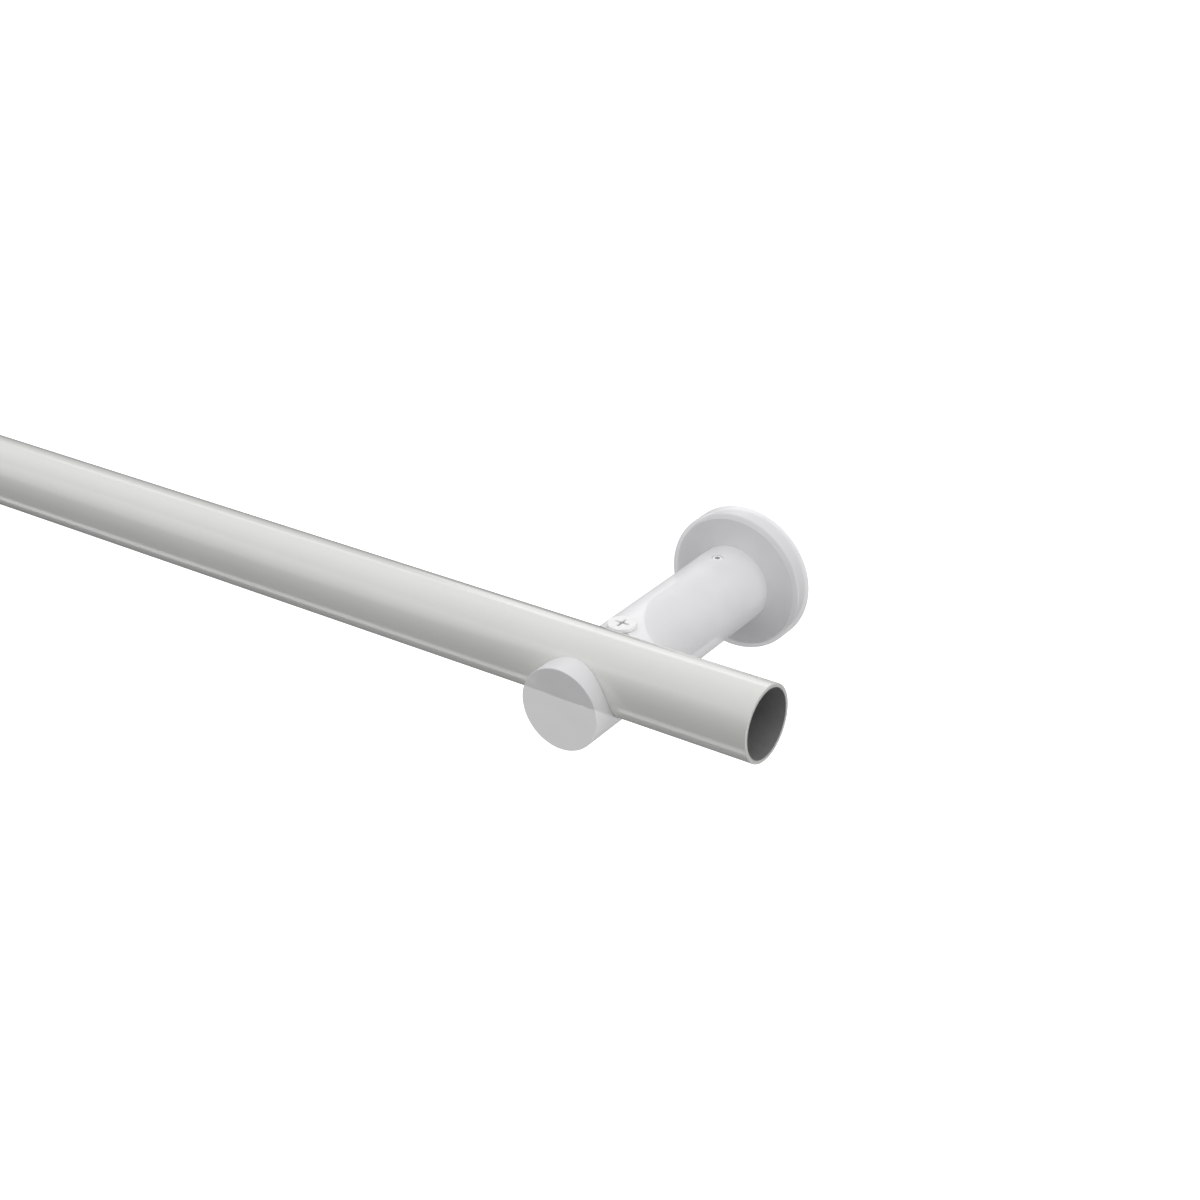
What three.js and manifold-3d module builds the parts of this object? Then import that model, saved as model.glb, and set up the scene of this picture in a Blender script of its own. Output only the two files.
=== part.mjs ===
// A curtain rod of 28 mm tube on two wall brackets.
//
// Millimetres. +X runs along the rod to the right, +Y points into the wall, +Z is up.
// The origin lies in the wall plane, midway between the brackets, at the height of their arms.

import * as THREE from 'three';
import { mergeVertices } from 'three/addons/utils/BufferGeometryUtils.js';
import Module from 'manifold-3d';

const wasm = await Module();
wasm.setup();

// ---------------------------------------------------------------- driving dimensions

const FACETS = 64; // round a tube, an arm or a rosette
const SMALL_FACETS = 24; // round a screw or its hole
const GAP = 0.3; // between pieces that touch

const ROD_RADIUS = 14;
const ROD_WALL = 1.5;
const ROD_LENGTH = 1200;
const ROD_EDGE = 0.25; // broken outer edge at each end of the tube
const ROD_BORE_EDGE = 0.1; // and its inner edge
const ROD_OVERHANG = 69; // from an arm's axis to the end of the rod
const ROD_FROM_WALL = 102.7; // wall plane to rod axis
const ROD_RISE = 7; // rod axis above the arm's axis

const ARM_RADIUS = 15.6;
const ARM_LENGTH = 123.8; // wall plane to the front of the nose
const ARM_EDGE = 0.35; // broken edge round the nose
const SADDLE_CLEARANCE = 0.2; // round the rod
const SLEEVE_DEPTH = 52; // wall plane to the bottom of the sleeve's bore

const SPIGOT_RADIUS = 12.5;
const SPIGOT_LENGTH = 50.7; // wall plane to its front end
const SPIGOT_FLAT_HEIGHT = 11; // flat along the top that the grub screw bears on
const SPIGOT_CHAMFER = 1;

const PLATE_RADIUS = 26.3;
const PLATE_THICKNESS = 2.4;
const WALL_SCREW_CIRCLE = 18; // radius of the circle that the wall screws stand on
const WALL_SCREW_ANGLES = { top: 90, low_left: 210, low_right: 330 }; // degrees

const ROSETTE_RADIUS = 27.85;
const ROSETTE_WALL = 1.2;
const ROSETTE_RISE = 0.9; // its face is a shallow cone that rises this much towards the arm
const ROSETTE_DEPTH = 9.25; // wall plane to the crease round that face
const ROSETTE_BEVEL_WIDTH = 1.85; // from the crease out to the rim
const ROSETTE_BEVEL_DROP = 1.25;
const ROSETTE_BEVEL_ROUNDING = 0.6; // where the bevel meets the rim

const GRUB_FROM_WALL = 21.3;
const GRUB_RADIUS = 2;
const GRUB_LENGTH = 4;
const GRUB_TOP = 15.4; // height of its top, just below the arm's skin
const GRUB_SOCKET_ACROSS = 2; // hexagon, across flats
const GRUB_SOCKET_DEPTH = 2;

const CLAMP_FROM_WALL = 85.3;
const CLAMP_SEAT_HEIGHT = 15.1; // of the spot face under its head
const CLAMP_HEAD_RADIUS = 5.3;
const CLAMP_HEAD_THICKNESS = 1.3;
const CLAMP_HEAD_EDGE = 0.3;
const CLAMP_SHANK_RADIUS = 2;
const CLAMP_SHANK_LENGTH = 10;
const CROSS_DEPTH = 0.9;
const CROSS_SPAN = 6;
const CROSS_BAR = 1.05;

const WALL_SCREW = { head: 3.1, shank: 1.6, length: 16, sunk: 0.4, crossSpan: 3.4, crossBar: 0.75, tip: 4 };
const SPIGOT_SCREW = { head: 4.6, shank: 2.5, length: 16, sunk: 0.1, crossSpan: 4.6, crossBar: 1, tip: 0.6 };
const HOLE_CLEARANCE = 0.25; // round a screw's shank and head

// ---------------------------------------------------------------- finishes

const FINISHES = {
  rodLacquer: { color: 0xe6e8e0, roughness: 0.22, metalness: 0 },
  bracketWhite: { color: 0xf0f0f2, roughness: 0.4, metalness: 0 },
  zincSteel: { color: 0xc9ccd0, roughness: 0.35, metalness: 1 },
  screwWhite: { color: 0xf4f4f4, roughness: 0.4, metalness: 0 },
};

// ---------------------------------------------------------------- geometry helpers

// Leaves only positions, joins shared vertices, drops empty triangles and turns the faces outwards.
function closed(geometry) {
  const bare = new THREE.BufferGeometry();
  bare.setAttribute('position', geometry.getAttribute('position').clone());
  if (geometry.index) bare.setIndex(geometry.index.clone());
  const merged = mergeVertices(bare, 1e-4);
  const position = merged.getAttribute('position');
  const corners = [0, 1, 2].map(() => new THREE.Vector3());
  const triangles = [];
  let volume = 0;
  for (let i = 0; i < merged.index.count; i += 3) {
    const ids = [0, 1, 2].map((k) => merged.index.getX(i + k));
    if (new Set(ids).size < 3) continue;
    ids.forEach((id, k) => corners[k].fromBufferAttribute(position, id));
    volume += corners[0].dot(corners[1].clone().cross(corners[2])) / 6;
    triangles.push(ids);
  }
  if (volume < 0) triangles.forEach((ids) => ids.reverse());
  merged.setIndex(triangles.flat());
  return merged;
}

function toSolid(geometry) {
  const clean = closed(geometry);
  return new wasm.Manifold(
    new wasm.Mesh({
      numProp: 3,
      vertProperties: new Float32Array(clean.getAttribute('position').array),
      triVerts: new Uint32Array(clean.index.array),
    }),
  );
}

// The first solid less each of the others, as a geometry.
function cut(body, ...tools) {
  const solid = tools.reduce((rest, tool) => rest.subtract(toSolid(tool)), toSolid(body));
  const mesh = solid.getMesh();
  const geometry = new THREE.BufferGeometry();
  geometry.setAttribute('position', new THREE.BufferAttribute(mesh.vertProperties, 3));
  geometry.setIndex(new THREE.BufferAttribute(mesh.triVerts, 1));
  return geometry;
}

// Turned about Y from [radius, y] pairs.
function turned(profile, facets = FACETS) {
  return new THREE.LatheGeometry(profile.map(([r, y]) => new THREE.Vector2(r, y)), facets);
}

// Turned about Z from [radius, z] pairs.
function turnedUpright(profile, facets = SMALL_FACETS) {
  return turned(profile, facets).rotateX(Math.PI / 2);
}

// Points of a quarter circle from one angle to another, in degrees, as [radius, height] pairs.
function arc(centreRadius, centreHeight, radius, fromDegrees, toDegrees, steps = 4) {
  const points = [];
  for (let i = 0; i <= steps; i += 1) {
    const angle = THREE.MathUtils.degToRad(fromDegrees + ((toDegrees - fromDegrees) * i) / steps);
    points.push([centreRadius + radius * Math.cos(angle), centreHeight + radius * Math.sin(angle)]);
  }
  return points;
}

function cylinderAlongX(radius, length, y, z) {
  return new THREE.CylinderGeometry(radius, radius, length, FACETS)
    .rotateZ(Math.PI / 2)
    .translate(0, y, z);
}

// Places on the wall screws' circle, by name.
const wallScrewPlaces = Object.entries(WALL_SCREW_ANGLES).map(([name, degrees]) => {
  const angle = THREE.MathUtils.degToRad(degrees);
  return { name, x: WALL_SCREW_CIRCLE * Math.cos(angle), z: WALL_SCREW_CIRCLE * Math.sin(angle) };
});

// ---------------------------------------------------------------- screws

// The two bars of a cross recess, lying in the XZ plane at the given height on the Y axis.
function crossBars(span, bar, depth, y) {
  return [
    new THREE.BoxGeometry(span, depth * 2, bar).translate(0, y, 0),
    new THREE.BoxGeometry(bar, depth * 2, span).translate(0, y, 0),
  ];
}

// A countersunk screw along +Y with the top of its head at y = 0.
function countersunkScrew({ head, shank, length, crossSpan, crossBar, tip }) {
  const neck = head - shank;
  const body = turned(
    [
      [0, 0],
      [head, 0],
      [shank, neck],
      [shank, length - tip],
      [shank * 0.25, length],
      [0, length],
    ],
    SMALL_FACETS,
  );
  return cut(body, ...crossBars(crossSpan, crossBar, CROSS_DEPTH, 0));
}

// The hole that such a screw needs through a plate, opening wide at y = 0.
function countersunkHole({ head, shank }, depth) {
  const r = shank + HOLE_CLEARANCE;
  const mouth = head + HOLE_CLEARANCE;
  return turned([[0, -1], [mouth, -1], [mouth, 0], [r, mouth - r], [r, depth], [0, depth]], SMALL_FACETS);
}

function grubScrew() {
  const edge = 0.3;
  const bottom = GRUB_TOP - GRUB_LENGTH;
  const body = turnedUpright([
    [0, bottom],
    [GRUB_RADIUS - edge, bottom],
    [GRUB_RADIUS, bottom + edge],
    [GRUB_RADIUS, GRUB_TOP - edge],
    [GRUB_RADIUS - edge, GRUB_TOP],
    [0, GRUB_TOP],
  ]);
  const socketRadius = GRUB_SOCKET_ACROSS / Math.sqrt(3);
  const socket = new THREE.CylinderGeometry(socketRadius, socketRadius, GRUB_SOCKET_DEPTH * 2, 6)
    .rotateX(Math.PI / 2)
    .translate(0, 0, GRUB_TOP);
  return cut(body, socket);
}

function clampScrew() {
  const underside = CLAMP_SEAT_HEIGHT + GAP / 2;
  const top = underside + CLAMP_HEAD_THICKNESS;
  const bottom = underside - CLAMP_SHANK_LENGTH;
  const body = turnedUpright([
    [0, bottom],
    [CLAMP_SHANK_RADIUS - CLAMP_HEAD_EDGE, bottom],
    [CLAMP_SHANK_RADIUS, bottom + CLAMP_HEAD_EDGE],
    [CLAMP_SHANK_RADIUS, underside],
    [CLAMP_HEAD_RADIUS, underside],
    ...arc(CLAMP_HEAD_RADIUS - CLAMP_HEAD_EDGE, top - CLAMP_HEAD_EDGE, CLAMP_HEAD_EDGE, 0, 90, 2),
    [0, top],
  ]);
  const bars = crossBars(CROSS_SPAN, CROSS_BAR, CROSS_DEPTH, 0);
  bars.forEach((bar) => bar.rotateX(Math.PI / 2).translate(0, 0, top));
  return cut(body, ...bars);
}

// ---------------------------------------------------------------- bracket pieces, arm axis on Y

function wallPlate() {
  const edge = 0.3;
  const plate = turned([
    [0, 0],
    [PLATE_RADIUS, 0],
    [PLATE_RADIUS, edge - PLATE_THICKNESS],
    [PLATE_RADIUS - edge, -PLATE_THICKNESS],
    [0, -PLATE_THICKNESS],
  ]);
  const frontHoles = wallScrewPlaces.map(({ x, z }) =>
    countersunkHole(WALL_SCREW, PLATE_THICKNESS + 1).translate(x, WALL_SCREW.sunk - PLATE_THICKNESS, z),
  );
  const backHole = countersunkHole(SPIGOT_SCREW, PLATE_THICKNESS + 1)
    .rotateX(Math.PI)
    .translate(0, -SPIGOT_SCREW.sunk, 0);
  return cut(plate, ...frontHoles, backHole);
}

function spigot() {
  const back = -PLATE_THICKNESS - GAP;
  const body = turned([
    [0, back],
    [SPIGOT_RADIUS, back],
    [SPIGOT_RADIUS, SPIGOT_CHAMFER - SPIGOT_LENGTH],
    [SPIGOT_RADIUS - SPIGOT_CHAMFER, -SPIGOT_LENGTH],
    [0, -SPIGOT_LENGTH],
  ]);
  const flat = new THREE.BoxGeometry(2 * SPIGOT_RADIUS, 2 * SPIGOT_LENGTH, SPIGOT_RADIUS).translate(
    0,
    -SPIGOT_LENGTH,
    SPIGOT_FLAT_HEIGHT + SPIGOT_RADIUS / 2,
  );
  const threadRadius = SPIGOT_SCREW.shank + HOLE_CLEARANCE;
  const threadDepth = SPIGOT_SCREW.length + 3;
  const thread = turned([[0, 0], [threadRadius, 0], [threadRadius, -threadDepth], [0, -threadDepth]], SMALL_FACETS);
  return cut(body, flat, thread);
}

function rosette() {
  const hole = ARM_RADIUS + GAP;
  const crease = ROSETTE_RADIUS - ROSETTE_BEVEL_WIDTH;
  const shoulder = ROSETTE_DEPTH - ROSETTE_BEVEL_DROP;
  const along = ROSETTE_BEVEL_ROUNDING / Math.hypot(ROSETTE_BEVEL_WIDTH, ROSETTE_BEVEL_DROP);
  const front = ROSETTE_DEPTH + ROSETTE_RISE;
  const inner = ROSETTE_RADIUS - ROSETTE_WALL;
  return closed(
    turned([
      [inner, 0],
      [ROSETTE_RADIUS, 0],
      [ROSETTE_RADIUS, ROSETTE_BEVEL_ROUNDING - shoulder],
      [ROSETTE_RADIUS - 0.15, 0.15 - shoulder],
      [ROSETTE_RADIUS - along * ROSETTE_BEVEL_WIDTH, -shoulder - along * ROSETTE_BEVEL_DROP],
      [crease, -ROSETTE_DEPTH],
      [hole, -front],
      [hole, ROSETTE_WALL - front],
      [crease - ROSETTE_WALL / 2, ROSETTE_WALL - ROSETTE_DEPTH],
      [inner, ROSETTE_WALL - shoulder],
      [inner, 0],
    ]),
  );
}

function arm() {
  const back = -PLATE_THICKNESS - 0.5;
  const outside = turned([
    [0, back],
    [ARM_RADIUS, back],
    [ARM_RADIUS, ARM_EDGE - ARM_LENGTH],
    [ARM_RADIUS - ARM_EDGE, -ARM_LENGTH],
    [0, -ARM_LENGTH],
  ]);
  const bore = SPIGOT_RADIUS + GAP / 2;
  const sleeveBore = turned([[0, 1], [bore, 1], [bore, -SLEEVE_DEPTH], [0, -SLEEVE_DEPTH]]);
  const saddleRadius = ROD_RADIUS + SADDLE_CLEARANCE;
  const saddle = cylinderAlongX(saddleRadius, 4 * ARM_RADIUS, -ROD_FROM_WALL, ROD_RISE);
  // Behind the rod the saddle ends in an upright wall; in front it hooks over the rod.
  const rearOpening = new THREE.BoxGeometry(4 * ARM_RADIUS, saddleRadius, ARM_RADIUS).translate(
    0,
    saddleRadius / 2 - ROD_FROM_WALL,
    ROD_RISE + ARM_RADIUS / 2,
  );
  const grubHole = GRUB_RADIUS + GAP / 2;
  const grubBore = turnedUpright([[0, 0], [grubHole, 0], [grubHole, 20], [0, 20]]).translate(
    0,
    -GRUB_FROM_WALL,
    0,
  );
  const clampHole = CLAMP_SHANK_RADIUS + GAP / 2;
  const clampBottom = CLAMP_SEAT_HEIGHT - CLAMP_SHANK_LENGTH - 1;
  const spotFace = CLAMP_HEAD_RADIUS + GAP;
  const clampBore = turnedUpright([
    [0, clampBottom],
    [clampHole, clampBottom],
    [clampHole, CLAMP_SEAT_HEIGHT],
    [spotFace, CLAMP_SEAT_HEIGHT],
    [spotFace, 20],
    [0, 20],
  ]).translate(0, -CLAMP_FROM_WALL, 0);
  return cut(outside, sleeveBore, saddle, rearOpening, grubBore, clampBore);
}

// ---------------------------------------------------------------- rod, along X

function rod() {
  const half = ROD_LENGTH / 2;
  const inner = ROD_RADIUS - ROD_WALL;
  const profile = [
    [inner, -half + ROD_BORE_EDGE],
    [inner + ROD_BORE_EDGE, -half],
    [ROD_RADIUS - ROD_EDGE, -half],
    [ROD_RADIUS, -half + ROD_EDGE],
    [ROD_RADIUS, half - ROD_EDGE],
    [ROD_RADIUS - ROD_EDGE, half],
    [inner + ROD_BORE_EDGE, half],
    [inner, half - ROD_BORE_EDGE],
    [inner, -half + ROD_BORE_EDGE],
  ];
  return closed(turned(profile).rotateZ(Math.PI / 2));
}

// ---------------------------------------------------------------- assembly

function piece(name, geometry, finish) {
  const mesh = new THREE.Mesh(geometry, new THREE.MeshStandardMaterial(FINISHES[finish]));
  mesh.name = name;
  return mesh;
}

function bracket(side) {
  const group = new THREE.Group();

  group.add(piece(`${side}_wall_plate`, wallPlate(), 'zincSteel'));
  for (const { name, x, z } of wallScrewPlaces) {
    const screw = piece(`${side}_wall_screw_${name}`, countersunkScrew(WALL_SCREW), 'zincSteel');
    screw.position.set(x, WALL_SCREW.sunk - PLATE_THICKNESS, z);
    group.add(screw);
  }

  group.add(piece(`${side}_spigot`, spigot(), 'zincSteel'));
  const spigotScrew = piece(`${side}_spigot_screw`, countersunkScrew(SPIGOT_SCREW), 'zincSteel');
  spigotScrew.rotation.x = Math.PI;
  spigotScrew.position.y = -SPIGOT_SCREW.sunk;
  group.add(spigotScrew);

  group.add(piece(`${side}_rosette`, rosette(), 'bracketWhite'));
  group.add(piece(`${side}_arm`, arm(), 'bracketWhite'));

  const grub = piece(`${side}_grub_screw`, grubScrew(), 'screwWhite');
  grub.position.y = -GRUB_FROM_WALL;
  group.add(grub);
  const clamp = piece(`${side}_clamp_screw`, clampScrew(), 'screwWhite');
  clamp.position.y = -CLAMP_FROM_WALL;
  group.add(clamp);
  return group;
}

const assembly = new THREE.Group();
const armFromMiddle = ROD_LENGTH / 2 - ROD_OVERHANG;
for (const [side, direction] of [['left', -1], ['right', 1]]) {
  const group = bracket(side);
  group.position.x = direction * armFromMiddle;
  assembly.add(group);
}

const rodMesh = piece('rod', rod(), 'rodLacquer');
rodMesh.position.set(0, -ROD_FROM_WALL, ROD_RISE);
assembly.add(rodMesh);

export default assembly;
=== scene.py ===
"""Looks for a curtain rod on two wall brackets: camera, light, materials and fine pieces.

Metres, in the frame of the CAD model: +X along the rod to the right, +Y into the wall, +Z up.
Every fine piece is made about its own axis, which is its local Z, in millimetres, and then
stands where the CAD node that it replaces is.
"""

import math

import bmesh
import bpy
from mathutils import Matrix, Vector


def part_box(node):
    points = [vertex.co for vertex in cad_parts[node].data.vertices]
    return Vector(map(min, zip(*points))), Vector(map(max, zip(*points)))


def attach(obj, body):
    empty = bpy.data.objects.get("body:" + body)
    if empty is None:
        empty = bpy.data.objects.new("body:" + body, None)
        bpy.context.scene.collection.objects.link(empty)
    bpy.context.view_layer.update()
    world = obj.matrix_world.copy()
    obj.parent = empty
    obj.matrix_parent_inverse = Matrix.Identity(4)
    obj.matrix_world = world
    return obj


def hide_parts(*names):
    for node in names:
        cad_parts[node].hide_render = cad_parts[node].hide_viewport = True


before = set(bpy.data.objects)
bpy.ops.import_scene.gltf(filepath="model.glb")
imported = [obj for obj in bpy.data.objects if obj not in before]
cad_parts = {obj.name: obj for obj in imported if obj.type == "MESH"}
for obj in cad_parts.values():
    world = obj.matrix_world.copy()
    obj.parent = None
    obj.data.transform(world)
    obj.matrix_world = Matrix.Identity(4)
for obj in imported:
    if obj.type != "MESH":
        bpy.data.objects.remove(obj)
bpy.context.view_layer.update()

# ------------------------------------------------------------ sizes, in millimetres

MM = 0.001
AROUND = 192  # segments round a tube, an arm or a rosette
AROUND_SCREW = 32

ROD_WALL = 1.5
ROD_EDGE = 0.3
ROD_BORE_EDGE = 0.08

ARM_EDGE = 0.35
SADDLE_CLEARANCE = 0.2
SLEEVE_DEPTH = 52
SLEEVE_CLEARANCE = 0.15
SCREW_CLEARANCE = 0.15
CLAMP_SEAT_DROP = 0.15  # from the underside of the clamp screw's head to its seat
CLAMP_HEAD = 1.3  # thickness
CLAMP_SPOT_MARGIN = 0.3
BORE_TOP = 20  # above the arm's axis, clear of the arm

ROSETTE_WALL = 1.2
ROSETTE_RISE = 0.9  # its face is a shallow cone that rises towards the arm
ROSETTE_BEVEL_WIDTH = 1.85
ROSETTE_BEVEL_DROP = 1.25
ROSETTE_HOLE_GAP = 0.06

SPIGOT_CHAMFER = 1
SPIGOT_BORE_DEPTH = 16
SPIGOT_BORE_CONE = 1.5  # left by the drill's point, below that depth
HOLE_CLEARANCE = 0.25  # round the screws in the plates and spigots

BROKEN_EDGE = 0.16  # on edges left by a cut
CUT_ANGLE = 35  # degrees between faces, above which a cut edge is broken
SHADING_ANGLE = 38  # degrees between faces, above which the shading keeps a crease

BRACKET_ALPHA = 0.89
LIGHT_LET_IN = 0.85  # share of a lamp's light that goes on through the milky plastic

# Radii and lengths of the countersunk screws. A recess has a span, a bar width and a depth.
WALL_SCREW = {
    "head": 3.1,
    "shank": 1.6,
    "neck": 1.5,
    "tip": 4,
    "pitch": 1.8,
    "thread": 0.45,
    "recess": (3.4, 0.75, 1.4),
}
SPIGOT_SCREW = {
    "head": 4.6,
    "shank": 2.5,
    "neck": 2.1,
    "tip": 0.6,
    "pitch": 0.8,
    "thread": 0.4,
    "recess": (4.6, 1.0, 2),
}
CLAMP_RECESS = (6, 1.05, 1.1)
GRUB_SOCKET = 2  # hexagon, across flats
GRUB_SOCKET_DEPTH = 1.8
M4_RADIUS = 2
M4_PITCH = 0.7
M4_THREAD = 0.35
THREAD_STEPS = 7  # rings to one pitch
TIP_SHARE = 0.28  # of the shank's radius, left at a wood screw's tip

# Local Z turned to each direction that a piece's axis has.
TOWARDS_ROOM = Matrix.Rotation(math.radians(90), 4, "X")
TOWARDS_WALL = Matrix.Rotation(math.radians(-90), 4, "X")
ALONG_ROD = Matrix.Rotation(math.radians(90), 4, "Y")
UPRIGHT = Matrix()


def box_mm(node):
    """Lowest and highest corner of a CAD node, in millimetres."""
    low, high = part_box(node)
    return low / MM, high / MM


# ------------------------------------------------------------ shapes


def rounded(corners, steps=5):
    """Profile points from (radius, height, rounding) corners, each rounding drawn as a short curve."""
    points = []
    for index, (radius, height, rounding) in enumerate(corners):
        here = Vector((radius, height))
        if rounding == 0:
            points.append(here)
            continue
        before = Vector(corners[index - 1][:2])
        after = Vector(corners[(index + 1) % len(corners)][:2])
        start = here + (before - here).normalized() * rounding
        end = here + (after - here).normalized() * rounding
        for step in range(steps + 1):
            t = step / steps
            points.append(start * (1 - t) ** 2 + here * (2 * t * (1 - t)) + end * t**2)
    return points


def turned(points, around=AROUND, closed=False, groove=None):
    """A solid turned about Z. groove(angle, height) is what it takes off the radius."""
    shape = bmesh.new()
    rings = []
    for radius, height in points:
        if radius < 1e-6:
            rings.append([shape.verts.new((0, 0, height * MM))])
            continue
        ring = []
        for step in range(around):
            angle = 2 * math.pi * step / around
            reach = radius - (groove(angle, height) if groove else 0)
            ring.append(
                shape.verts.new(
                    (reach * math.cos(angle) * MM, reach * math.sin(angle) * MM, height * MM)
                )
            )
        rings.append(ring)
    pairs = list(zip(rings, rings[1:]))
    if closed:
        pairs.append((rings[-1], rings[0]))
    for first, second in pairs:
        for step in range(around):
            following = (step + 1) % around
            corners = [
                first[step % len(first)],
                first[following % len(first)],
                second[following % len(second)],
                second[step % len(second)],
            ]
            corners = list(dict.fromkeys(corners))
            if len(corners) > 2:
                shape.faces.new(corners)
    bmesh.ops.recalc_face_normals(shape, faces=shape.faces)
    return shape


def moved(shape, matrix):
    """The shape after a matrix whose shift is in millimetres."""
    matrix = matrix.copy()
    matrix.translation *= MM
    bmesh.ops.transform(shape, matrix=matrix, verts=shape.verts)
    return shape


def block(size, centre):
    """A cuboid for cutting with."""
    shape = bmesh.new()
    bmesh.ops.create_cube(shape, size=MM)
    return moved(shape, Matrix.Translation(centre) @ Matrix.Diagonal((*size, 1)))


def cross_recess(span, bar, depth):
    """Cuts a cross into a head whose top is at height 0. Its four wings narrow downwards."""
    shape = bmesh.new()
    rings = []
    for height, length_share, width_share in ((0.4, 1.06, 1.04), (0, 1, 1), (-depth, 0.62, 0.8)):
        long = span / 2 * length_share
        half = bar / 2 * width_share
        wing = [(long, -half), (long, half), (half, half)]
        ring = []
        for quarter in range(4):
            turn = Matrix.Rotation(quarter * math.pi / 2, 2)
            for corner in wing:
                x, y = turn @ Vector(corner)
                ring.append(shape.verts.new((x * MM, y * MM, height * MM)))
        rings.append(ring)
    for lower, upper in zip(rings, rings[1:]):
        for index in range(12):
            following = (index + 1) % 12
            shape.faces.new((lower[index], lower[following], upper[following], upper[index]))
    shape.faces.new(rings[0])
    shape.faces.new(rings[-1])
    bmesh.ops.recalc_face_normals(shape, faces=shape.faces)
    return shape


def as_object(name, shape):
    """A new object in the scene with the shape as its mesh."""
    mesh = bpy.data.meshes.new(name)
    shape.to_mesh(mesh)
    shape.free()
    made = bpy.data.objects.new(name, mesh)
    bpy.context.scene.collection.objects.link(made)
    return made


def cut(shape, *tools):
    """The shape less each tool."""
    body = as_object("body", shape)
    cutters = [as_object("cutter", tool) for tool in tools]
    for cutter in cutters:
        modifier = body.modifiers.new("cut", "BOOLEAN")
        modifier.object = cutter
        modifier.solver = "EXACT"
    graph = bpy.context.evaluated_depsgraph_get()
    mesh = bpy.data.meshes.new_from_object(body.evaluated_get(graph))
    result = bmesh.new()
    result.from_mesh(mesh)
    bpy.data.meshes.remove(mesh)
    for used in (body, *cutters):
        bpy.data.meshes.remove(used.data)
    return result


def edges_broken(shape, width=BROKEN_EDGE):
    """Rounds the edges that a cut left sharp."""
    bmesh.ops.remove_doubles(shape, verts=shape.verts, dist=0.01 * MM)
    limit = math.radians(CUT_ANGLE)
    sharp = [e for e in shape.edges if e.is_manifold and e.calc_face_angle() > limit]
    bmesh.ops.bevel(
        shape,
        geom=sharp,
        offset=width * MM,
        offset_type="OFFSET",
        segments=2,
        profile=0.5,
        affect="EDGES",
        clamp_overlap=False,
        loop_slide=False,
    )
    return shape


def thread_heights(top, bottom, pitch):
    """Heights down a thread, close enough together to draw it."""
    count = round((top - bottom) / pitch * THREAD_STEPS)
    return [top + (bottom - top) * step / count for step in range(count + 1)]


def thread(top, bottom, pitch, depth, crest=0.5):
    """The groove of a right-hand thread between two heights, fading out at its ends."""

    def groove(angle, height):
        fade = min(1, max(0, (top - height) / pitch), max(0, (height - bottom) / pitch))
        along = (height / pitch - angle / (2 * math.pi)) % 1
        ridge = max(0, 1 - abs(2 * along - 1) / crest)
        return depth * (1 - ridge) * fade

    return groove


# ------------------------------------------------------------ materials


def node(tree, kind, links=None, **settings):
    """A shader node with its settings, and with values or links on its inputs."""
    made = tree.nodes.new(kind)
    for key, value in settings.items():
        setattr(made, key, value)
    for key, value in (links or {}).items():
        if isinstance(value, bpy.types.NodeSocket):
            tree.links.new(value, made.inputs[key])
        else:
            made.inputs[key].default_value = value
    return made


def place(tree):
    """Where a point lies on its piece, in metres."""
    return node(tree, "ShaderNodeTexCoord").outputs["Object"]


def axis_distance(tree):
    """How far a point lies from its piece's local Z, in metres, and its place along Z."""
    parts = node(tree, "ShaderNodeSeparateXYZ", {0: place(tree)}).outputs
    across = node(tree, "ShaderNodeCombineXYZ", {0: parts[0], 1: parts[1]}).outputs[0]
    length = node(tree, "ShaderNodeVectorMath", {0: across}, operation="LENGTH")
    return length.outputs["Value"], parts[2]


def noise(tree, scale, detail=3, stretch=(1, 1, 1), rough=0.55):
    """Even noise from 0 to 1 with that many features in a metre."""
    spread = node(tree, "ShaderNodeMapping", {"Vector": place(tree), "Scale": stretch})
    links = {
        "Vector": spread.outputs["Vector"],
        "Scale": scale,
        "Detail": detail,
        "Roughness": rough,
    }
    return node(tree, "ShaderNodeTexNoise", links).outputs["Fac"]


def ranged(tree, value, low, high, start=0.3, end=0.7):
    """value from start to end, brought to low to high."""
    links = {"Value": value, "From Min": start, "From Max": end, "To Min": low, "To Max": high}
    return node(tree, "ShaderNodeMapRange", links).outputs["Result"]


def mixed(tree, share, first, second):
    """A colour between two, by share."""
    made = node(tree, "ShaderNodeMix", {0: share}, data_type="RGBA")
    for index, colour in ((6, first), (7, second)):
        if isinstance(colour, bpy.types.NodeSocket):
            tree.links.new(colour, made.inputs[index])
        else:
            made.inputs[index].default_value = (*colour, 1)
    return made.outputs[2]


def mixed_value(tree, share, first, second):
    """A number between two, by share."""
    made = node(tree, "ShaderNodeMix", {0: share, 2: first, 3: second}, data_type="FLOAT")
    return made.outputs[0]


def bump(tree, height, depth, strength=1):
    """Relief of that depth in metres."""
    links = {"Height": height, "Distance": depth, "Strength": strength}
    return node(tree, "ShaderNodeBump", links).outputs["Normal"]


def turning_marks(tree, spacing, direction):
    """Fine turning marks, that far apart in metres, round local Z or along it."""
    links = {
        "Vector": place(tree),
        "Scale": 2 * math.pi / (20 * spacing),
        "Distortion": 1.5,
        "Detail": 2,
        "Detail Scale": 2,
    }
    if direction == "round":
        made = node(tree, "ShaderNodeTexWave", links, wave_type="RINGS", rings_direction="Z")
    else:
        made = node(tree, "ShaderNodeTexWave", links, wave_type="BANDS", bands_direction="Z")
    return made.outputs["Fac"]


def material(name):
    """A new material and its shader."""
    made = bpy.data.materials.new(name)
    made.use_nodes = True
    return made, made.node_tree, made.node_tree.nodes["Principled BSDF"]


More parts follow.
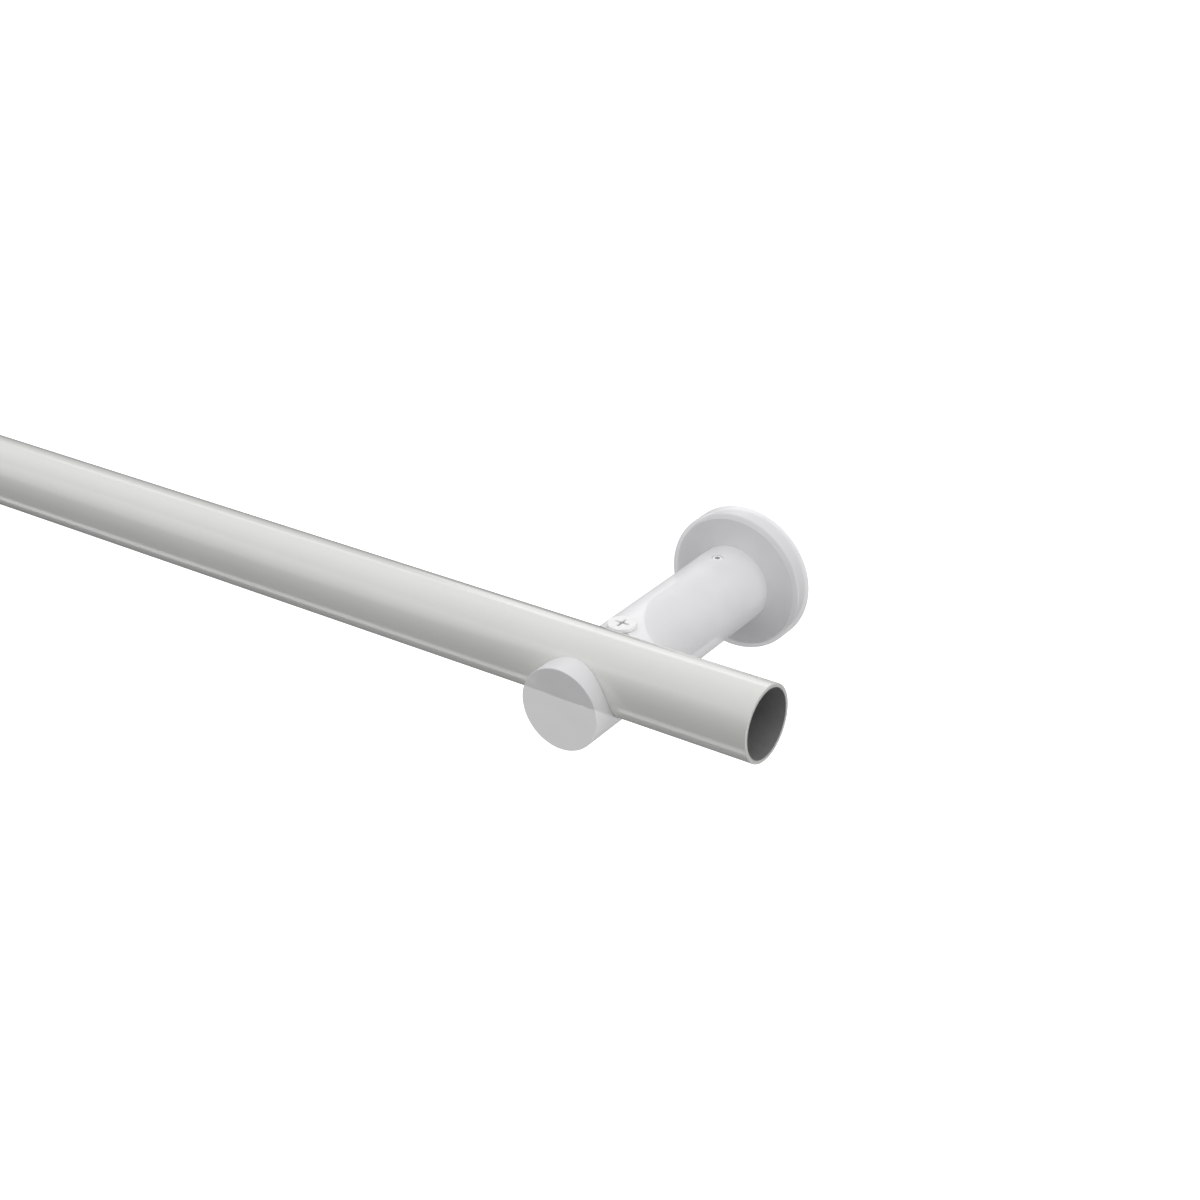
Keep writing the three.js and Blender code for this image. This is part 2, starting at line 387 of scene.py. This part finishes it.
def join(tree, shader, **sockets):
    """Links or sets the shader's inputs, whose names are written with _ for a space."""
    for key, value in sockets.items():
        socket = shader.inputs[key.replace("_", " ")]
        if isinstance(value, bpy.types.NodeSocket):
            tree.links.new(value, socket)
        else:
            socket.default_value = value


def rod_lacquer():
    """Glossy, faintly warm white lacquer outside, bare drawn steel inside the bore."""
    made, tree, shader = material("rod_lacquer")
    radius, _ = axis_distance(tree)
    # The lacquer begins on the ring at the tube's end, just outside its bore.
    lacquered = ranged(tree, radius, 0, 1, ROD_INNER * MM + 0.0001, ROD_INNER * MM + 0.0004)

    tone = ranged(tree, noise(tree, 35, 4), 0, 1)
    lacquer = mixed(tree, tone, (0.770, 0.773, 0.745), (0.786, 0.788, 0.762))
    drawn = ranged(tree, noise(tree, 500, 2, (1, 1, 0.02)), 0, 1)
    steel = mixed(tree, drawn, (0.41, 0.41, 0.415), (0.43, 0.43, 0.435))
    sheen = ranged(tree, noise(tree, 120, 3), 0.25, 0.27)
    peel = noise(tree, 650, 2)
    join(
        tree,
        shader,
        Base_Color=mixed(tree, lacquered, steel, lacquer),
        Roughness=mixed_value(tree, lacquered, 0.5, sheen),
        Metallic=ranged(tree, lacquered, 0.5, 0, 0, 1),
        Normal=bump(tree, peel, 0.0000015),
        Coat_Weight=1.0,
        Coat_Roughness=0.12,
    )
    return made


def bracket_white():
    """Milky white, slightly see-through plastic with a satin gloss."""
    made, tree, shader = material("bracket_white")
    tone = ranged(tree, noise(tree, 60, 4), 0, 1)
    join(
        tree,
        shader,
        Base_Color=mixed(tree, tone, (0.855, 0.857, 0.872), (0.895, 0.897, 0.91)),
        Roughness=ranged(tree, noise(tree, 220, 3), 0.3, 0.4),
        Normal=bump(tree, noise(tree, 1100, 3), 0.00001),
        Alpha=BRACKET_ALPHA,
    )
    clear = node(tree, "ShaderNodeBsdfTransparent").outputs[0]
    behind = node(tree, "ShaderNodeNewGeometry").outputs["Backfacing"]
    one_sided = node(tree, "ShaderNodeMixShader", {0: behind, 1: shader.outputs[0], 2: clear})
    from_lamp = node(tree, "ShaderNodeLightPath").outputs["Is Shadow Ray"]
    let_in = ranged(tree, from_lamp, 0, LIGHT_LET_IN, 0, 1)
    lit = node(tree, "ShaderNodeMixShader", {0: let_in, 1: one_sided.outputs[0], 2: clear})
    tree.links.new(lit.outputs[0], tree.nodes["Material Output"].inputs["Surface"])
    return made


def screw_white():
    """White enamel on small screws, a little uneven and rubbed. Their cross recess or socket, and the
    thread below it, are painted grey as shade in the recess.
    """
    made, tree, shader = material("screw_white")
    radius, height = axis_distance(tree)
    # Painted shade: within the cross's reach and below the top, the screws turn grey (0.62), which
    # darkens the cross recess and the grub screw's socket as shade would; the thread beneath takes the
    # same grey.
    half_cross = CLAMP_RECESS[0] / 2 * MM
    inside = ranged(tree, radius, 1, 0, half_cross, half_cross + 0.0002)
    # Past the grub screw's socket the painted shade begins deeper, so the chamfer stays white.
    lip = ranged(tree, radius, 0.0001, 0.0005, 0.0012, 0.0016)
    under_lip = node(tree, "ShaderNodeMath", {0: height, 1: lip}, operation="ADD").outputs[0]
    below = ranged(tree, under_lip, 1, 0, -0.0002, 0)
    painted_recess_shade = node(tree, "ShaderNodeMath", {0: inside, 1: below}, operation="MULTIPLY").outputs[0]
    tone = ranged(tree, noise(tree, 500, 4), 0, 1)
    rubbed = ranged(tree, noise(tree, 1400, 5, rough=0.7), 0, 0.35, 0.6, 0.75)
    enamel = mixed(tree, tone, (0.92, 0.92, 0.915), (0.96, 0.96, 0.955))
    worn = mixed(tree, rubbed, enamel, (0.72, 0.72, 0.73))
    join(
        tree,
        shader,
        Base_Color=mixed(tree, painted_recess_shade, worn, (0.62, 0.62, 0.63)),
        Roughness=ranged(tree, noise(tree, 700, 3), 0.28, 0.42),
        Normal=bump(tree, noise(tree, 1800, 3), 0.000015),
    )
    return made


def zinc_steel():
    """Bright zinc plating on the steel screws, with a faint yellow and blue cast."""
    made, tree, shader = material("zinc_steel")
    cast = ranged(tree, noise(tree, 90, 3), 0, 1)
    marks = turning_marks(tree, 0.00035, "round")
    stains = ranged(tree, noise(tree, 260, 5, rough=0.65), 0, 0.4, 0.55, 0.75)
    plate = mixed(tree, cast, (0.84, 0.85, 0.87), (0.88, 0.87, 0.83))
    join(
        tree,
        shader,
        Base_Color=mixed(tree, stains, plate, (0.68, 0.68, 0.69)),
        Metallic=0.6,
        Roughness=ranged(tree, noise(tree, 400, 4), 0.28, 0.46),
        Normal=bump(tree, marks, 0.000006),
    )
    return made


def plate_zinc():
    """Dull zinc on the plate behind the rosette, with the grains of hot dipping."""
    made, tree, shader = material("plate_zinc")
    links = {"Vector": place(tree), "Scale": 420}
    grains = node(tree, "ShaderNodeTexVoronoi", links).outputs["Distance"]
    shade = ranged(tree, grains, 0, 1, 0, 0.8)
    join(
        tree,
        shader,
        Base_Color=mixed(tree, shade, (0.46, 0.47, 0.49), (0.56, 0.57, 0.59)),
        Metallic=0.3,
        Roughness=ranged(tree, noise(tree, 300, 4), 0.45, 0.6),
        Normal=bump(tree, shade, 0.000004),
    )
    return made


def spigot_metal():
    """Turned aluminium, matt silver white, with fine marks from the lathe."""
    made, tree, shader = material("spigot_metal")
    tone = ranged(tree, noise(tree, 150, 3), 0, 1)
    marks = turning_marks(tree, 0.00025, "along")
    join(
        tree,
        shader,
        Base_Color=mixed(tree, tone, (0.86, 0.86, 0.865), (0.92, 0.92, 0.925)),
        Metallic=0.4,
        Roughness=ranged(tree, marks, 0.36, 0.5, 0, 1),
        Normal=bump(tree, marks, 0.000008),
    )
    return made


# ------------------------------------------------------------ putting pieces in


def piece(name, shape, node_name, body, slot, place_mm, turn, finish=None):
    """Puts a finished shape in for a CAD node, on its body, in its slot's finish or another."""
    limit = math.radians(SHADING_ANGLE)
    for face in shape.faces:
        face.smooth = True
    for edge in shape.edges:
        edge.smooth = not edge.is_manifold or edge.calc_face_angle() < limit
    made = as_object(name, shape)
    made.matrix_world = Matrix.Translation(Vector(place_mm) * MM) @ turn
    made.data.materials.append(MATERIALS[finish or slot])
    even = made.modifiers.new("even_shading", "WEIGHTED_NORMAL")
    even.keep_sharp = True
    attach(made, body)
    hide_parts(node_name)
    return made


def rod():
    low, high = box_mm("rod")
    middle = (low + high) / 2
    half = (high.x - low.x) / 2
    outer = (high.z - low.z) / 2
    inner = outer - ROD_WALL
    profile = rounded(
        [
            (inner, -half, ROD_BORE_EDGE),
            (outer, -half, ROD_EDGE),
            (outer, half, ROD_EDGE),
            (inner, half, ROD_BORE_EDGE),
        ]
    )
    shape = turned(profile, 256, closed=True)
    return piece("rod_tube", shape, "rod", "rod", "rod_lacquer", middle, ALONG_ROD)


def arm(side):
    name = f"{side}_arm"
    low, high = box_mm(name)
    radius = (high.x - low.x) / 2
    axis = Vector(((low.x + high.x) / 2, 0, low.z + radius))
    back, front = -high.y, -low.y
    outside = turned(
        rounded([(0, back, 0), (radius, back, ARM_EDGE), (radius, front, ARM_EDGE), (0, front, 0)])
    )

    spigot_low, spigot_high = box_mm(f"{side}_spigot")
    bore = (spigot_high.x - spigot_low.x) / 2 + SLEEVE_CLEARANCE
    sleeve = turned([(0, 0), (bore, 0), (bore, SLEEVE_DEPTH), (0, SLEEVE_DEPTH)])

    rod_low, rod_high = box_mm("rod")
    rod_middle = (rod_low + rod_high) / 2
    rod_height = rod_middle.z - axis.z
    rod_out = -rod_middle.y
    seat = (rod_high.z - rod_low.z) / 2 + SADDLE_CLEARANCE
    long = 2 * radius
    saddle = turned([(0, -long), (seat, -long), (seat, long), (0, long)], 256)
    moved(saddle, Matrix.Translation((0, rod_height, rod_out)) @ ALONG_ROD)
    opening = block((2 * long, radius, seat), (0, rod_height + radius / 2, rod_out - seat / 2))

    grub_low, grub_high = box_mm(f"{side}_grub_screw")
    grub_out = -(grub_low.y + grub_high.y) / 2
    grub_hole = (grub_high.x - grub_low.x) / 2 + SCREW_CLEARANCE
    grub_bore = turned([(0, 0), (grub_hole, 0), (grub_hole, BORE_TOP), (0, BORE_TOP)], 48)
    moved(grub_bore, Matrix.Translation((0, 0, grub_out)) @ TOWARDS_WALL)

    clamp_low, clamp_high = box_mm(f"{side}_clamp_screw")
    clamp_out = -(clamp_low.y + clamp_high.y) / 2
    clamp_hole = M4_RADIUS + SCREW_CLEARANCE
    spot = (clamp_high.x - clamp_low.x) / 2 + CLAMP_SPOT_MARGIN
    seat_height = clamp_high.z - axis.z - CLAMP_HEAD - CLAMP_SEAT_DROP
    bottom = clamp_low.z - axis.z - 1
    profile = [(0, bottom), (clamp_hole, bottom), (clamp_hole, seat_height)]
    profile += [(spot, seat_height), (spot, BORE_TOP), (0, BORE_TOP)]
    clamp_bore = turned(profile, 64)
    moved(clamp_bore, Matrix.Translation((0, 0, clamp_out)) @ TOWARDS_WALL)

    shape = edges_broken(cut(outside, sleeve, saddle, opening, grub_bore, clamp_bore))
    return piece(f"{side}_arm_shell", shape, name, name, "bracket_white", axis, TOWARDS_ROOM)


def rosette(side):
    name = f"{side}_rosette"
    low, high = box_mm(name)
    arm_low, arm_high = box_mm(f"{side}_arm")
    radius = (high.x - low.x) / 2
    front = high.y - low.y
    crease = front - ROSETTE_RISE
    shoulder = crease - ROSETTE_BEVEL_DROP
    face_radius = radius - ROSETTE_BEVEL_WIDTH
    hole = (arm_high.x - arm_low.x) / 2 + ROSETTE_HOLE_GAP
    inner = radius - ROSETTE_WALL
    profile = rounded(
        [
            (inner, 0, 0.2),
            (radius, 0, 0.25),
            (radius, shoulder, 0.7),
            (face_radius, crease, 0.12),
            (hole, front, 0.15),
            (hole, front - ROSETTE_WALL, 0.1),
            (face_radius - ROSETTE_WALL / 2, crease - ROSETTE_WALL, 0.2),
            (inner, shoulder - ROSETTE_WALL, 0.5),
        ],
        6,
    )
    shape = turned(profile, closed=True)
    axis = ((low.x + high.x) / 2, high.y, (low.z + high.z) / 2)
    return piece(f"{side}_rosette_cup", shape, name, name, "bracket_white", axis, TOWARDS_ROOM)


def countersink(head, shank, depth):
    """Cuts a countersunk hole down from height 0."""
    mouth = head + HOLE_CLEARANCE
    hole = shank + HOLE_CLEARANCE
    points = [(0, 1), (mouth, 1), (mouth, 0), (hole, hole - mouth), (hole, -depth), (0, -depth)]
    return turned(points, 64)


def wall_plate(side):
    name = f"{side}_wall_plate"
    low, high = box_mm(name)
    radius = (high.x - low.x) / 2
    thickness = high.y - low.y
    axis = Vector(((low.x + high.x) / 2, high.y, (low.z + high.z) / 2))
    disc = turned(
        rounded([(0, 0, 0), (radius, 0, 0.2), (radius, thickness, 0.4), (0, thickness, 0)])
    )
    holes = []
    for which in ("top", "low_left", "low_right"):
        screw_low, screw_high = box_mm(f"{side}_wall_screw_{which}")
        x = (screw_low.x + screw_high.x) / 2 - axis.x
        y = (screw_low.z + screw_high.z) / 2 - axis.z
        top = axis.y - screw_low.y
        hole = countersink(WALL_SCREW["head"], WALL_SCREW["shank"], thickness + 1)
        holes.append(moved(hole, Matrix.Translation((x, y, top))))
    screw_low, screw_high = box_mm(f"{side}_spigot_screw")
    back = countersink(SPIGOT_SCREW["head"], SPIGOT_SCREW["shank"], thickness + 1)
    flip = Matrix.Rotation(math.pi, 4, "X")
    holes.append(moved(back, Matrix.Translation((0, 0, axis.y - screw_high.y)) @ flip))
    shape = edges_broken(cut(disc, *holes), 0.1)
    where = axis, TOWARDS_ROOM
    return piece(f"{side}_plate", shape, name, "wall_fixing", "zinc_steel", *where, "plate_zinc")


def spigot(side):
    name = f"{side}_spigot"
    low, high = box_mm(name)
    radius = (high.x - low.x) / 2
    length = high.y - low.y
    axis = Vector(((low.x + high.x) / 2, high.y, low.z + radius))
    flat_height = high.z - axis.z
    body = turned(
        [
            *rounded([(0, 0, 0), (radius, 0, 0.3), (radius, length - SPIGOT_CHAMFER, 0.2)])[:-1],
            (radius, length - SPIGOT_CHAMFER),
            (radius - SPIGOT_CHAMFER, length),
            (0, length),
        ]
    )
    flat = block((3 * radius, radius, 3 * length), (0, flat_height + radius / 2, length / 2))
    hole = SPIGOT_SCREW["shank"] + HOLE_CLEARANCE
    bottom = SPIGOT_BORE_DEPTH + SPIGOT_BORE_CONE
    bore = turned([(0, -1), (hole, -1), (hole, SPIGOT_BORE_DEPTH), (0, bottom)], 48)
    shape = edges_broken(cut(body, flat, bore), 0.12)
    return piece(f"{side}_post", shape, name, "wall_fixing", "spigot_metal", axis, TOWARDS_ROOM)


def countersunk_screw(sizes, length):
    """A screw with its head's top at height 0 and its tip at -length."""
    head, shank, neck, pitch = (sizes[key] for key in ("head", "shank", "neck", "pitch"))
    start = -neck - 0.3
    corners = [(0, 0, 0), (head, 0, 0.12), (shank, -neck, 0.15), (shank, -length, 0)]
    profile = rounded(corners, 3)[:-1]
    for height in thread_heights(start, -length + 0.05, pitch):
        taper = min(1, (height + length) / sizes["tip"])
        profile.append((shank * (TIP_SHARE + (1 - TIP_SHARE) * taper), height))
    profile.append((0, -length))
    groove = thread(start, -length + 0.2, pitch, sizes["thread"], 0.7)
    return cut(turned(profile, AROUND_SCREW, groove=groove), cross_recess(*sizes["recess"]))


def wall_screw(side, which):
    name = f"{side}_wall_screw_{which}"
    low, high = box_mm(name)
    top = ((low.x + high.x) / 2, low.y, (low.z + high.z) / 2)
    shape = countersunk_screw(WALL_SCREW, high.y - low.y)
    label = f"{side}_plate_screw_{which}"
    return piece(label, shape, name, "wall_fixing", "zinc_steel", top, TOWARDS_ROOM)


def spigot_screw(side):
    name = f"{side}_spigot_screw"
    low, high = box_mm(name)
    top = ((low.x + high.x) / 2, high.y, (low.z + high.z) / 2)
    shape = countersunk_screw(SPIGOT_SCREW, high.y - low.y)
    return piece(f"{side}_post_screw", shape, name, "wall_fixing", "zinc_steel", top, TOWARDS_WALL)


def clamp_screw(side):
    name = f"{side}_clamp_screw"
    low, high = box_mm(name)
    head = (high.x - low.x) / 2
    top = ((low.x + high.x) / 2, (low.y + high.y) / 2, high.z)
    length = high.z - low.z
    start = -CLAMP_HEAD - 0.4
    corners = [
        (0, 0, 0),
        (head, 0, 0.35),
        (head, -CLAMP_HEAD, 0.1),
        (M4_RADIUS, -CLAMP_HEAD, 0.1),
        (M4_RADIUS, -length, 0),
    ]
    profile = rounded(corners, 3)[:-1]
    profile += [(M4_RADIUS, height) for height in thread_heights(start, -length, M4_PITCH)]
    profile.append((0, -length))
    groove = thread(start, -length, M4_PITCH, M4_THREAD)
    shape = cut(turned(profile, 64, groove=groove), cross_recess(*CLAMP_RECESS))
    return piece(f"{side}_clamp", shape, name, name, "screw_white", top, UPRIGHT)


def grub_screw(side):
    name = f"{side}_grub_screw"
    low, high = box_mm(name)
    radius = (high.x - low.x) / 2
    length = high.z - low.z
    top = ((low.x + high.x) / 2, (low.y + high.y) / 2, high.z)
    heights = thread_heights(-0.3, 0.3 - length, M4_PITCH)
    profile = [(0, 0), (radius - 0.3, 0)]
    profile += [(radius, height) for height in heights]
    profile += [(radius - 0.3, -length), (0, -length)]
    groove = thread(-0.2, 0.2 - length, M4_PITCH, M4_THREAD)
    across = GRUB_SOCKET / math.sqrt(3)
    socket = turned(
        [
            (0, 1),
            (across, 1),
            (across, -GRUB_SOCKET_DEPTH),
            (0, -GRUB_SOCKET_DEPTH - 0.5),
        ],
        6,
    )
    shape = cut(turned(profile, AROUND_SCREW, groove=groove), socket)
    return piece(f"{side}_grub", shape, name, name, "screw_white", top, UPRIGHT)


rod_low, rod_high = box_mm("rod")
ROD_INNER = (rod_high.z - rod_low.z) / 2 - ROD_WALL
MATERIALS = {
    "rod_lacquer": rod_lacquer(),
    "bracket_white": bracket_white(),
    "screw_white": screw_white(),
    "zinc_steel": zinc_steel(),
    "plate_zinc": plate_zinc(),
    "spigot_metal": spigot_metal(),
}

rod()
for side in ("left", "right"):
    wall_plate(side)
    for which in ("top", "low_left", "low_right"):
        wall_screw(side, which)
    spigot(side)
    spigot_screw(side)
    rosette(side)
    arm(side)
    clamp_screw(side)
    grub_screw(side)

# ------------------------------------------------------------ camera

arm_low, arm_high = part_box("right_arm")
rod_low, rod_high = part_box("rod")
saddle = (rod_low + rod_high) / 2
saddle.x = (arm_low.x + arm_high.x) / 2

CAMERA_FROM_SADDLE = Vector((0.3403, -0.4875, 0.3364))  # metres
CAMERA_TURN = 34.70  # degrees to the left of straight at the wall
CAMERA_PITCH = 27.57  # downwards
CAMERA_ROLL = -0.507

camera = bpy.data.objects.new("camera", bpy.data.cameras.new("camera"))
camera.data.sensor_width = 36
camera.data.lens = 59.16
camera.matrix_world = (
    Matrix.Translation(saddle + CAMERA_FROM_SADDLE)
    @ Matrix.Rotation(math.radians(CAMERA_TURN), 4, "Z")
    @ Matrix.Rotation(math.radians(90 - CAMERA_PITCH), 4, "X")
    @ Matrix.Rotation(math.radians(CAMERA_ROLL), 4, "Z")
)
bpy.context.scene.collection.objects.link(camera)
bpy.context.scene.camera = camera

# ------------------------------------------------------------ light, floor and backdrop

FLOOR_HEIGHT = -1.5  # metres
FLOOR_HALF = 20
BACKDROP_RADIUS = 19
BACKDROP_TOP = 20


def softbox(name, position, target, width, height, power):
    """A rectangular light at position that faces target."""
    data = bpy.data.lights.new(name, "AREA")
    data.shape = "RECTANGLE"
    data.size = width
    data.size_y = height
    data.energy = power
    lamp = bpy.data.objects.new(name, data)
    lamp.location = position
    lamp.visible_camera = False
    lamp.rotation_euler = (Vector(target) - Vector(position)).to_track_quat("-Z", "Y").to_euler()
    bpy.context.scene.collection.objects.link(lamp)


def sky(stops):
    """Soft light all round. Stops from straight down to straight up hold (height, brightness)."""
    world = bpy.data.worlds.new("studio")
    world.use_nodes = True
    tree = world.node_tree
    around = node(tree, "ShaderNodeTexCoord").outputs["Generated"]
    height = node(tree, "ShaderNodeSeparateXYZ", {0: around}).outputs["Z"]
    share = ranged(tree, height, 0, 1, -1, 1)
    ramp = node(tree, "ShaderNodeValToRGB", {0: share})
    elements = ramp.color_ramp.elements
    for sine, _ in stops[1:-1]:
        elements.new((sine + 1) / 2)
    for stop, (_, brightness) in zip(elements, stops):
        stop.color = (brightness, brightness, brightness, 1)
    background = tree.nodes["Background"]
    tree.links.new(ramp.outputs["Color"], background.inputs["Color"])
    bpy.context.scene.world = world


sky(
    [
        (-1, 0.3),
        (-0.6, 0.15),
        (-0.35, 0.05),
        (0, 0.2),
        (0.25, 0.35),
        (0.5, 0.8),
        (0.75, 1.1),
        (1, 0.95),
    ]
)
softbox("left_fill", (-1.6, -1.9, 1.3), (0.4, -0.1, 0), 1.6, 1.6, 5)
softbox("right_fill", (2.2, 0.3, -0.4), (0.5, -0.05, 0), 1.2, 1.2, 10)
softbox("low_front_fill", (1.3, -1.3, -0.9), (0.5, -0.05, 0), 1.2, 1.2, 2)
softbox("back_strip", (-0.45, 1.4, 0.95), (0.55, -0.1, 0), 1.8, 0.16, 0.8)
softbox("back_panel", (-0.3, 1.4, 0.65), (0.55, -0.1, 0), 0.6, 0.9, 1.2)
softbox("low_strip", (-1.1, -0.47, -1.2), (-1.1, -0.1, 0), 3.6, 0.42, 5)

pale, pale_tree, pale_shader = material("pale_floor")
join(pale_tree, pale_shader, Base_Color=(0.3, 0.3, 0.3, 1), Roughness=0.9)
join(pale_tree, pale_shader, Emission_Color=(1, 1, 1, 1), Emission_Strength=1.05)

floor_shape = bmesh.new()
bmesh.ops.create_grid(floor_shape, x_segments=1, y_segments=1, size=FLOOR_HALF)
floor = as_object("floor", floor_shape)
floor.location.z = FLOOR_HEIGHT

wall = [(BACKDROP_RADIUS / MM, height / MM) for height in (FLOOR_HEIGHT, BACKDROP_TOP)]
backdrop = as_object("backdrop", turned(wall, 96))
backdrop.visible_shadow = False

for part in (floor, backdrop):
    part.data.materials.append(pale)
    part.visible_diffuse = False
    part.visible_glossy = False

bpy.context.scene.view_settings.view_transform = "Standard"

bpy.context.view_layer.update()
